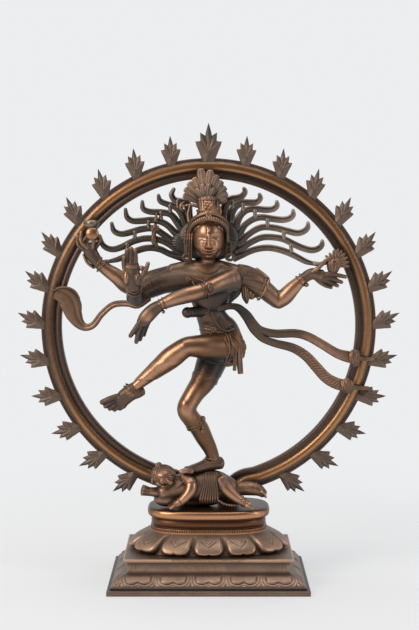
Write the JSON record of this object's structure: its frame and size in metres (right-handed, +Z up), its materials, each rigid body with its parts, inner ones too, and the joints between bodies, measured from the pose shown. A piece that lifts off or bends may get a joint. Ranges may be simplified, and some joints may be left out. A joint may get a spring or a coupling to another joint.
{
  "type": "dancing shiva figure",
  "caption": "Table-top bronze of the dancing Shiva in a ring of flames, standing on a lotus pedestal.",
  "frame": {"origin": "centre of the plinth's underside", "axes": "+Z up, front faces -Y, +X to the right seen from the front"},
  "size_m": [0.5046, 0.1794, 0.6033],
  "materials": {
    "pedestal_bronze": "brown patinated bronze, rubbed bright on the edges",
    "ring_bronze": "copper-brown patinated bronze, polished on the round band",
    "figure_bronze": "dark patinated bronze, rubbed to copper on the face and limbs"
  },
  "bodies": {
    "root": {"pedestal": "pedestal_bronze", "flame_ring": "ring_bronze", "shiva_figure": "figure_bronze"}
  },
  "joints": []
}
